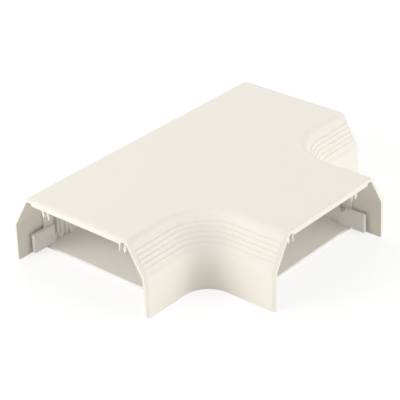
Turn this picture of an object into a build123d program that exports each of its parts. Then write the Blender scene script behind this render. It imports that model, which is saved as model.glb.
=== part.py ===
from build123d import *
from math import hypot
import os

# Trunking tee fitting: a clip-on cover over a floor tray, for surface trunking on a wall.
# X runs along the straight run, the branch leaves towards -Y, Z points away from the wall.
# The origin is where the centrelines of the run and the branch cross on the wall face.
# Sizes are in millimetres.

# Outer shell of the cover
arm_width = 105.0
top_width = 79.6
height = 45.1
shoulder_height = 24.7
wall_lean = 0.65
wall = 2.3
run_length = 199.2
branch_reach = 103.1
corner_radius = 16.5
top_edge_radius = 4.5
shoulder_radius = 3.0

# Bevel round the outside of each mouth
rim_length = 1.7
rim_depth = 0.7

# Steps moulded into the sloping faces round the two inside corners
ridge_count = 5
first_ridge_height = 39.3
ridge_spacing = 2.5
ridge_step = 0.4
ridge_root = 0.6
ridge_end_gap = 0.3

# Thicker lip under the flat top at each mouth, as wide as the trunking's own lid
lip_width = 70.0
lip_length = 5.0
lip_thickness = 1.6

# Clip fingers that hang under the flat top and hook the trunking's lid channel
finger_gap = 2.8
finger_spacing = 4.1
finger_thickness = 1.3
finger_length = 3.0
finger_setback = 5.8
finger_drop = 11.1
barb_depth = 0.8
barb_height = 4.5
finger_tip = 0.5

# Floor tray inside the cover
tray_clearance = 0.3
tray_wall = 1.8
tray_floor = 1.6
tray_height = 23.0
tray_setback = 20.3

# Tongues that reach out of the tray into the end of each trunking, and taper into its walls
tongue_thickness = 2.1
tongue_length = 16.7
tongue_taper = 3.5
tongue_reach = 11.0
tongue_height = 13.5

# Snap tab in the tray's rear wall, one near each end of the run
tab_slot_width = 3.3
tab_slot_foot = 5.2
tab_slot_from_end = 7.9
tab_rib_width = 1.9
tab_rib_depth = 1.2
tab_rib_gap = 2.2
tab_rib_count = 2
tab_rib_offset = 2.1
gusset_thickness = 1.2
gusset_depth = 2.2
gusset_height = 5.5
gusset_gap = 1.1

# Round-ended notch in each side wall of the tray's branch
notch_width = 5.7
notch_foot = 10.5
notch_from_end = 5.8

run_half = run_length / 2
corner_centre = arm_width / 2 + corner_radius
lean_rate = wall_lean / shoulder_height
slope_rate = (arm_width / 2 - wall_lean - top_width / 2) / (height - shoulder_height)
past_end = 5.0


def wall_half_width(gap, z):
    """Half width of the upright walls at height z, measured gap inside the outer face."""
    return arm_width / 2 - lean_rate * z - gap * hypot(1, lean_rate)


def slope_half_width(gap, z):
    """Half width of the sloping faces at height z, measured gap inside the outer face."""
    return top_width / 2 + slope_rate * (height - z) - gap * hypot(1, slope_rate)


def shell_outline(gap, foot):
    """Foot, shoulder and top edge of one side of an arm, gap inside the outer face."""
    spread = slope_half_width(gap, 0) - wall_half_width(gap, 0)
    shoulder = spread / (slope_rate - lean_rate)
    top = height - gap
    return [
        (wall_half_width(gap, foot), foot),
        (wall_half_width(gap, shoulder), shoulder),
        (slope_half_width(gap, top), top),
    ]


def tray_outline(gap, foot, top):
    """Foot and top edge of one side of the tray, gap inside the cover's outer face."""
    return [(wall_half_width(gap, foot), foot), (wall_half_width(gap, top), top)]


def arm_section(plane, side, radii):
    """The whole section of an arm, with its edges rounded by radii from the foot up."""
    left = [(-half, z) for half, z in side]
    right = [(half, z) for half, z in reversed(side)]
    with BuildSketch(plane) as section:
        with BuildLine():
            if radii:
                FilletPolyline(*left, *right, radius=radii + radii[::-1])
            else:
                Polyline(*left, *right)
            Line(right[-1], left[0])
        make_face()
    return section.sketch


def half_arm_section(plane, side, radii):
    """The section of an arm from its left wall to its middle."""
    foot = side[0][1]
    top = side[-1][1]
    left = [(-half, z) for half, z in side]
    with BuildSketch(plane) as section:
        with BuildLine():
            if radii:
                FilletPolyline(*left, (0, top), radius=radii)
            else:
                Polyline(*left, (0, top))
            Polyline((0, top), (0, foot), left[0])
        make_face()
    return section.sketch


def make_tee(side, radii, run_reach, reach):
    """A solid tee of the given section, with round inside corners about shared axes."""
    across_run = arm_section(Plane.YZ.offset(-run_reach), side, radii)
    across_branch = arm_section(Plane.XZ, side, radii)
    across_corner = half_arm_section(Plane.XZ.offset(corner_centre), side, radii)
    corner_axis = Axis((-corner_centre, -corner_centre, 0), (0, 0, 1))
    with BuildPart() as tee:
        corner = revolve(across_corner, axis=corner_axis, revolution_arc=90)
        mirror(corner, about=Plane.YZ)
        extrude(across_branch, amount=reach)
        extrude(across_run, amount=2 * run_reach)
    return tee.part


def ridge_section(plane):
    """The stepped strip that stands proud of the left sloping face."""
    levels = [first_ridge_height - i * ridge_spacing for i in range(ridge_count + 1)]
    teeth = []
    for upper, lower in zip(levels, levels[1:]):
        teeth.append((-slope_half_width(0, upper) - ridge_step, upper))
        teeth.append((-slope_half_width(0, lower), lower))
    with BuildSketch(plane) as section:
        with BuildLine():
            Polyline(
                (-slope_half_width(0, levels[0]) + ridge_root, levels[0]),
                *teeth,
                (-slope_half_width(0, levels[-1]) + ridge_root, levels[-1]),
                close=True,
            )
        make_face()
    return section.sketch


def make_ridges():
    """Both sets of steps: along the run, round the inside corner and along the branch."""
    end_gap = rim_length + ridge_end_gap
    run_start = run_half - end_gap
    across_run = ridge_section(Plane.YZ.offset(-run_start))
    across_corner = ridge_section(Plane.XZ.offset(corner_centre))
    corner_axis = Axis((-corner_centre, -corner_centre, 0), (0, 0, 1))
    with BuildPart() as ridges:
        extrude(across_run, amount=run_start - corner_centre)
        revolve(across_corner, axis=corner_axis, revolution_arc=90)
        extrude(across_corner, amount=branch_reach - end_gap - corner_centre)
        mirror(about=Plane.YZ)
    return ridges.part


def mouth_planes(setback, length):
    """Section planes for a thing of this length, set back from each of the three mouths."""
    return [
        Plane.YZ.offset(-(run_half - setback)),
        Plane.YZ.offset(run_half - setback - length),
        Plane.XZ.offset(branch_reach - setback - length),
    ]


def finger_section(plane):
    """Two pairs of clip fingers in section, the outer one of each pair with a barb."""
    root = height - wall / 2
    tip = height - wall - finger_drop
    outer = lip_width / 2 - finger_gap
    inner = outer - finger_spacing
    half = finger_thickness / 2
    barb_base = tip + barb_height
    barb_point = tip + barb_height / 2
    with BuildSketch(plane) as section:
        for sign in (-1, 1):
            with BuildLine():
                Polyline(
                    (sign * (outer + half), root),
                    (sign * (outer - half), root),
                    (sign * (outer - half), barb_base),
                    (sign * (outer - half - barb_depth), barb_point),
                    (sign * (outer - finger_tip), tip),
                    (sign * (outer + half), barb_point),
                    close=True,
                )
            make_face()
            with BuildLine():
                Polyline(
                    (sign * (inner + half), root),
                    (sign * (inner - half), root),
                    (sign * (inner - half), tip),
                    (sign * inner, tip),
                    (sign * (inner + half), barb_base),
                    close=True,
                )
            make_face()
    return section.sketch


def make_lips():
    """Thicker strips under the flat top at the three mouths."""
    lip_top = lip_thickness + wall / 2
    run_place = run_half - lip_length / 2
    with BuildPart() as lips:
        with BuildSketch(Plane.XY.offset(height - wall - lip_thickness)):
            with Locations((-run_place, 0), (run_place, 0)):
                Rectangle(lip_length, lip_width)
            with Locations((0, -(branch_reach - lip_length / 2))):
                Rectangle(lip_width, lip_length)
        extrude(amount=lip_top)
    return lips.part


def make_tongues():
    """Two flat tongues at each mouth, fixed to the inner faces of the tray walls."""
    middle = (tray_floor + tongue_height) / 2
    outer = wall_half_width(wall + tray_clearance + tray_wall, middle)
    inner = outer - tongue_thickness
    floor_top = Plane.XY.offset(tray_floor)
    with BuildPart() as tongues:
        for turn, mouth in ((0, run_half), (180, run_half), (-90, branch_reach)):
            tip = mouth - tray_setback + tongue_reach
            root = tip - tongue_length
            with BuildSketch(floor_top.rotated((0, 0, turn))):
                for side in (-1, 1):
                    with BuildLine():
                        Polyline(
                            (tip, side * outer),
                            (tip, side * inner),
                            (root, side * inner),
                            (root - tongue_taper, side * outer),
                            close=True,
                        )
                    make_face()
            extrude(amount=tongue_height - tray_floor)
    return tongues.part


outer_body = make_tee(
    shell_outline(0, 0), [shoulder_radius, top_edge_radius], run_half, branch_reach
)
cover_room = make_tee(
    shell_outline(wall, -past_end),
    [wall / 4, top_edge_radius - wall],
    run_half + past_end,
    branch_reach + past_end,
)
ridge_bands = make_ridges()
lip_strips = make_lips()

# Cover
with BuildPart() as cover:
    add(outer_body)
    mouths = [
        cover.faces().sort_by(Axis.X)[0],
        cover.faces().sort_by(Axis.X)[-1],
        cover.faces().sort_by(Axis.Y)[0],
    ]
    for mouth in mouths:
        rim = mouth.edges().sort_by(Axis.Z)[1:]
        chamfer(rim, length=rim_depth, length2=rim_length, reference=mouth)
    add(cover_room, mode=Mode.SUBTRACT)
    add(ridge_bands)
    add(lip_strips)
    for plane in mouth_planes(finger_setback, finger_length):
        extrude(finger_section(plane), amount=finger_length)
cover.part.label = "cover"

tray_gap = wall + tray_clearance
room_gap = tray_gap + tray_wall
tray_end = run_half - tray_setback
tray_reach = branch_reach - tray_setback
tray_body = make_tee(tray_outline(tray_gap, 0, tray_height), None, tray_end, tray_reach)
tray_room = make_tee(
    tray_outline(room_gap, tray_floor, tray_height + past_end),
    None,
    tray_end + past_end,
    tray_reach + past_end,
)
tongue_set = make_tongues()

slot_x = -(tray_end - tab_slot_from_end)
room_half = wall_half_width(room_gap, tray_floor)
first_rib_x = slot_x + tab_slot_width / 2 + tab_rib_offset + tab_rib_width / 2
rib_pitch = tab_rib_width + tab_rib_gap
rib_xs = [first_rib_x + i * rib_pitch for i in range(tab_rib_count)]
notch_y = -(tray_reach - notch_from_end)
gusset_step = tab_rib_width / 2 + gusset_gap + gusset_thickness / 2
gusset_xs = [slot_x + (tab_slot_width + tab_rib_offset) / 2, rib_xs[-1] + gusset_step]

# Floor tray
with BuildPart() as base:
    add(tray_body)
    add(tray_room, mode=Mode.SUBTRACT)
    add(tongue_set)
    with BuildSketch(Plane.XZ.offset(-room_half + tab_rib_depth)):
        for side in (-1, 1):
            for x in rib_xs:
                with Locations((side * x, (tray_floor + tray_height) / 2)):
                    Rectangle(tab_rib_width, tray_height - tray_floor)
    extrude(amount=-tab_rib_depth - tray_wall / 2)
    for x in gusset_xs:
        for side in (-1, 1):
            with BuildSketch(Plane.YZ.offset(side * x - gusset_thickness / 2)):
                with BuildLine():
                    Polyline(
                        (room_half - gusset_depth, tray_floor),
                        (room_half, tray_floor + gusset_height),
                        (room_half + tray_wall / 2, tray_floor + gusset_height),
                        (room_half + tray_wall / 2, tray_floor),
                        close=True,
                    )
                make_face()
            extrude(amount=gusset_thickness)
    with BuildSketch(Plane.XZ.offset(-arm_width / 2)):
        for side in (-1, 1):
            with Locations((side * slot_x, tab_slot_foot + tab_slot_width / 2)):
                Circle(tab_slot_width / 2)
            with Locations((side * slot_x, tray_height)):
                Rectangle(tab_slot_width, 2 * (tray_height - tab_slot_foot) - tab_slot_width)
    extrude(amount=arm_width / 2 - room_half + tongue_thickness + past_end, mode=Mode.SUBTRACT)
    with BuildSketch(Plane.YZ.offset(-arm_width / 2)):
        with Locations((notch_y, notch_foot + notch_width / 2)):
            Circle(notch_width / 2)
        with Locations((notch_y, tray_height)):
            Rectangle(notch_width, 2 * (tray_height - notch_foot) - notch_width)
    extrude(amount=arm_width, mode=Mode.SUBTRACT)
base.part.label = "base"

os.makedirs("parts", exist_ok=True)
export_step(cover.part, "parts/cover.step")
export_step(base.part, "parts/base.step")
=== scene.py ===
# %% [markdown]
# # A trunking tee fitting in off-white ABS
#
# Surface trunking is the plastic channel that carries cables along a wall. Where one
# channel leaves another at right angles, a tee fitting covers the joint. This one has two
# mouldings: an open tray that is fixed to the wall, and a cover with sloping sides that
# clips over it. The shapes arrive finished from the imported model, at their real size, so
# this lesson is about what the eye needs beside them: two honest plastics, a pale floor,
# soft studio light and a camera that stands where the photographer stood.

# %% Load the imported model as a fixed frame
import math

import bpy
from mathutils import Matrix, Vector


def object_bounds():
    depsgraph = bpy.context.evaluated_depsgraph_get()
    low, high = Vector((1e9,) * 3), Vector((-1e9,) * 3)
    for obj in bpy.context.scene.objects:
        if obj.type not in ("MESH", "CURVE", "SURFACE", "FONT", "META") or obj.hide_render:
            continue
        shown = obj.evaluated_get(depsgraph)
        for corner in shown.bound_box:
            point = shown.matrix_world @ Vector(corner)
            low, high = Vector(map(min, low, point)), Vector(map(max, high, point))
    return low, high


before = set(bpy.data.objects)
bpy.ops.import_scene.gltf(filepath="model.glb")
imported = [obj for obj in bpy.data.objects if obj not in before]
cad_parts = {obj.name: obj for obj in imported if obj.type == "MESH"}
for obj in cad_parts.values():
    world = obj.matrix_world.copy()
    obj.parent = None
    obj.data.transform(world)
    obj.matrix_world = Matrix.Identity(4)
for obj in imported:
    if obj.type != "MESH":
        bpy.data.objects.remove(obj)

cad_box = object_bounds()
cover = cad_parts["cover"]
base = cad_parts["base"]
mm = 0.001
print("the fitting measures", [round(side / mm, 1) for side in cad_box[1] - cad_box[0]], "mm")

# %% [markdown]
# ## Colours and nodes
#
# A colour given as a hex code is an sRGB value, but a shader adds up light, and needs linear
# values. One function turns the hex code of a colour into linear red, green and blue. A
# second one adds a node to a material, sets its inputs and links it to the nodes before
# it. Both could be left out and typed in full each time, but then the finishes below
# would be hard to read.

# %% Turn a hex colour into linear light
def linear(hex_colour):
    """Linear red, green, blue and alpha of an sRGB colour such as 'F0ECE0'."""
    levels = [int(hex_colour[i:i + 2], 16) / 255 for i in (0, 2, 4)]
    light = [
        level / 12.92 if level <= 0.04045 else ((level + 0.055) / 1.055) ** 2.4
        for level in levels
    ]
    return light + [1]


print("F0ECE0 is", [round(part, 3) for part in linear("F0ECE0")[:3]], "in linear light")


# %% Add a node with its settings and links
def add(tree, kind, settings=None, **inputs):
    """A new node. A value that is a socket is linked, and any other value is set."""
    node = tree.nodes.new(kind)
    for name, value in (settings or {}).items():
        setattr(node, name, value)
    for name, value in inputs.items():
        socket = node.inputs[name.replace("_", " ")]
        if isinstance(value, bpy.types.NodeSocket):
            tree.links.new(value, socket)
        else:
            socket.default_value = value
    return node


# %% [markdown]
# ## Moulded ABS
#
# Both pieces are ABS, the tough off-white plastic of wall boxes and appliance housings.
# It is moulded in a steel tool whose walls were spark-eroded, and that leaves an even,
# very fine matt grain. The eye reads it as satin: a wide, soft highlight and no mirror
# image. A flat colour with one roughness would look like paper or like glass, so the
# finish is made of three things. A fine grain tilts the surface a little. Real grain is
# finer than a tenth of a millimetre, too fine to show in the picture, so it is drawn
# nearly half a millimetre wide. A slower wave, as wide as the plastic takes to shrink
# unevenly over its ribs, bends the highlight slightly. And the colour drifts by about one
# percent, as the pigment does in a real moulding. A bevel in the shading rounds the
# edges, as a moulding tool never leaves them quite sharp.

# %% Sizes of the moulded surface
grain_width = 0.45 * mm
grain_depth = 0.012 * mm
grain_detail = 2.0
shrink_width = 22 * mm
shrink_depth = 0.05 * mm
shrink_detail = 3.0
edge_radius = 0.3 * mm
edge_samples = 6
abs_ior = 1.53
print("grain is", round(grain_width / mm, 2), "mm wide")
print("waves are", round(shrink_width / mm), "mm wide")


# %% A function for a moulded ABS finish
def moulded_abs(name, light_shade, deep_shade, smooth, rough):
    """Off-white ABS between two close shades, with its roughness between two values."""
    material = bpy.data.materials.new(name)
    material.use_nodes = True
    tree = material.node_tree
    tree.nodes.clear()
    place = add(tree, "ShaderNodeTexCoord").outputs["Object"]
    drift = add(
        tree, "ShaderNodeTexNoise",
        Vector=place, Scale=1 / shrink_width, Detail=shrink_detail,
    ).outputs["Fac"]
    grain = add(
        tree, "ShaderNodeTexNoise",
        Vector=place, Scale=1 / grain_width, Detail=grain_detail,
    ).outputs["Fac"]
    shades = add(tree, "ShaderNodeValToRGB", Fac=drift)
    shades.color_ramp.elements[0].color = linear(light_shade)
    shades.color_ramp.elements[1].color = linear(deep_shade)
    rounded = add(tree, "ShaderNodeBevel", {"samples": edge_samples}, Radius=edge_radius)
    waves = add(
        tree, "ShaderNodeBump",
        Height=drift, Distance=shrink_depth, Strength=1.0, Normal=rounded.outputs["Normal"],
    )
    pitted = add(
        tree, "ShaderNodeBump",
        Height=grain, Distance=grain_depth, Strength=1.0, Normal=waves.outputs["Normal"],
    )
    gloss = add(tree, "ShaderNodeMapRange", Value=grain, To_Min=smooth, To_Max=rough)
    plastic = add(
        tree, "ShaderNodeBsdfPrincipled", Base_Color=shades.outputs["Color"],
        Roughness=gloss.outputs["Result"], IOR=abs_ior, Normal=pitted.outputs["Normal"],
    )
    add(tree, "ShaderNodeOutputMaterial", Surface=plastic.outputs["BSDF"])
    return material


# %% [markdown]
# ## One finish for each moulding
#
# The cover and the tray come out of two tools and two batches, so they are never quite
# alike. The tray is a shade greyer and a little rougher. One material could serve both,
# but the eye would miss the break between them inside the mouths.

# %% Give each moulding its own finish
cover_abs = moulded_abs("cover satin ABS", "F7F3EB", "F4F0E8", 0.64, 0.76)
base_abs = moulded_abs("tray satin ABS", "F7F5F1", "F4F2EE", 0.66, 0.80)
for node, finish in ((cover, cover_abs), (base, base_abs)):
    for slot in node.material_slots:
        slot.material = finish
    print(node.name, "has", len(node.data.polygons), "faces in", finish.name)

# %% [markdown]
# ## Floor
#
# The photograph has a plain white ground. A white floor that is only lit never quite
# reaches white, and turning up the lamps to get there would burn out the pale plastic.
# So the floor adds a little light of its own for the camera and for reflections, which
# lifts it to white where no shadow falls and still lets the shadow of the fitting show.
# For the light that bounces about, it is a plain pale floor. It lies a hair below the
# fitting, so that the two never fight for the same place.

# %% Sizes and levels of the floor
floor_half = 1.0
floor_drop = 0.05 * mm
floor_glow = 0.75
floor_shade = 0.32
floor_colour = "F6F5F2"


# %% Tell rays that show a thing from rays that only light it
def seen_or_mirrored(tree):
    """One for camera, glossy and transmitted rays, nought for all others."""
    rays = add(tree, "ShaderNodeLightPath").outputs
    seen = rays["Is Camera Ray"]
    for kind in ("Is Glossy Ray", "Is Transmission Ray"):
        either = add(tree, "ShaderNodeMath", {"operation": "MAXIMUM"})
        tree.links.new(seen, either.inputs[0])
        tree.links.new(rays[kind], either.inputs[1])
        seen = either.outputs[0]
    return seen


def pick_shader(tree, for_lighting, for_seeing):
    """The first shader for the rays that light the scene, the second for those that show it."""
    chosen = add(tree, "ShaderNodeMixShader")
    tree.links.new(seen_or_mirrored(tree), chosen.inputs[0])
    tree.links.new(for_lighting.outputs[0], chosen.inputs[1])
    tree.links.new(for_seeing.outputs[0], chosen.inputs[2])
    return chosen.outputs[0]


# %% A card that looks white and keeps its shadow
def pale_card():
    """The material of the floor."""
    card = bpy.data.materials.new("pale card")
    card.use_nodes = True
    tree = card.node_tree
    tree.nodes.clear()
    plain = add(tree, "ShaderNodeBsdfDiffuse", Color=linear(floor_colour))
    dim = add(tree, "ShaderNodeBsdfDiffuse", Color=(floor_shade, floor_shade, floor_shade, 1))
    glow = add(tree, "ShaderNodeEmission", Strength=floor_glow)
    lifted = add(tree, "ShaderNodeAddShader")
    tree.links.new(dim.outputs["BSDF"], lifted.inputs[0])
    tree.links.new(glow.outputs["Emission"], lifted.inputs[1])
    add(tree, "ShaderNodeOutputMaterial", Surface=pick_shader(tree, plain, lifted))
    return card


# %% Lay the floor under the fitting
def pale_floor():
    """A large sheet of pale card under the fitting."""
    low = cad_box[0].z - floor_drop
    corners = [
        (x * floor_half, y * floor_half, low) for x, y in ((-1, -1), (1, -1), (1, 1), (-1, 1))
    ]
    mesh = bpy.data.meshes.new("floor")
    mesh.from_pydata(corners, [], [(0, 1, 2, 3)])
    mesh.materials.append(pale_card())
    sheet = bpy.data.objects.new("floor", mesh)
    bpy.context.scene.collection.objects.link(sheet)
    return sheet


floor = pale_floor()
print("floor is", 2 * floor_half, "m wide")

# %% [markdown]
# ## Sky
#
# The walls and the ceiling of a studio send back light from every side, and that keeps
# shadows soft and open. A picture of a studio could be wrapped round the scene, but for so
# plain an object an even glow, well below white, does as much. The camera and the
# reflections see it as plain white instead, so that it runs on from the floor.

# %% A soft sky that the camera sees as white
lamp_colour = "FFFEFB"
sky_level = 0.30
world = bpy.data.worlds.new("studio")
bpy.context.scene.world = world
world.use_nodes = True
sky = world.node_tree
sky.nodes.clear()
soft = add(sky, "ShaderNodeBackground", Color=linear(lamp_colour), Strength=sky_level)
white = add(sky, "ShaderNodeBackground", Color=(1, 1, 1, 1), Strength=1.0)
add(sky, "ShaderNodeOutputWorld", Surface=pick_shader(sky, soft, white))
print("sky level", sky_level)

# %% [markdown]
# ## Where the photographer stood
#
# The view was worked out by matching corners of the fitting with the picture: it looks
# down by 29 degrees onto the mouth at the left, through a long lens from a little under
# a metre, held about two degrees out of level. The lamps are turned from this side too,
# so it comes before them.

# %% The side of the camera, and directions measured from the fitting
camera_azimuth = -48.49
camera_elevation = 29.06
camera_roll = -2.11
camera_distance = 0.9158


def toward(azimuth, elevation):
    """The direction from the fitting to a place seen at these angles, in degrees."""
    a, e = math.radians(azimuth), math.radians(elevation)
    return Vector((math.sin(a) * math.cos(e), -math.cos(a) * math.cos(e), math.sin(e)))


# %% [markdown]
# ## Lamps
#
# The photograph was lit from low on both sides of the camera, and more weakly from
# behind. The walls that face left and right are the brightest, and the round corner that
# faces the camera is the darkest, because hardly any light comes from there. Area lamps
# three times as wide as the fitting is long give such soft, wide light. Two stand on each
# side: the one nearer the camera lights the walls and slopes, and the one farther round
# lights the insides of the mouths and draws the dark lines beside the ends of the tray.
# Two more behind lift the flat top, and a very faint one in front opens up the round
# corner. All share the nearly neutral white of the sky. A lamp's power is worked out from
# the level that it should give at the fitting, so that it can be moved without making the
# picture brighter.

# %% A soft box that gives a stated level at the fitting
centre = (cad_box[0] + cad_box[1]) / 2
box_distance = 1.2
box_width = 0.6
watts_per_level = (math.pi * box_distance) ** 2


def soft_box(name, turn, elevation, height, level):
    """A lamp, turned from the camera's side, that gives this level at the fitting."""
    light = bpy.data.lights.new(name, "AREA")
    light.shape = "RECTANGLE"
    light.size = box_width
    light.size_y = height
    light.energy = level * watts_per_level
    light.color = linear(lamp_colour)[:3]
    lamp = bpy.data.objects.new(name, light)
    direction = toward(camera_azimuth + turn, elevation)
    lamp.location = centre + direction * box_distance
    lamp.rotation_mode = "QUATERNION"
    lamp.rotation_quaternion = direction.to_track_quat("Z", "Y")
    bpy.context.scene.collection.objects.link(lamp)
    print(name, "gives level", level, "with", round(light.energy, 1), "W")


# %% Soft boxes on both sides, in front and behind
for name, turn, elevation, height, level in (
    ("left_box", -60, 24, 0.8, 0.32),
    ("left_side_box", -80, 23, 0.8, 0.32),
    ("right_box", 60, 19, 0.8, 0.37),
    ("right_side_box", 84, 25, 1.0, 0.20),
    ("front_box", 0, 20, 0.6, 0.02),
    ("back_left_box", -150, 39, 0.6, 0.19),
    ("back_right_box", 165, 38, 0.6, 0.14),
):
    soft_box(name, turn, elevation, height, level)

# %% [markdown]
# ## Camera
#
# A camera could be aimed at the fitting by a constraint, but its three directions, written
# out, say more plainly how it is held. Two small shifts of the camera, to its right and
# up, bring the fitting to where it stands in the picture.

# %% Stand the camera where the photographer stood
middle_right = 3.51 * mm
middle_up = 11.24 * mm
lens_mm = 134.6
sensor_mm = 36
roll = math.radians(camera_roll)
back = toward(camera_azimuth, camera_elevation)
level_right = toward(camera_azimuth + 90, 0)
right = level_right * math.cos(roll) + back.cross(level_right) * math.sin(roll)
up = back.cross(right)
camera_data = bpy.data.cameras.new("camera")
camera_data.lens = lens_mm
camera_data.sensor_width = sensor_mm
camera = bpy.data.objects.new("camera", camera_data)
stand = right * middle_right + up * middle_up + back * camera_distance
aim = Matrix((right, up, back)).transposed().to_4x4()
camera.matrix_world = Matrix.Translation(stand) @ aim
bpy.context.scene.collection.objects.link(camera)
bpy.context.scene.camera = camera
bpy.context.scene.view_settings.view_transform = "Standard"
print("camera stands at", [round(x, 3) for x in camera.location])
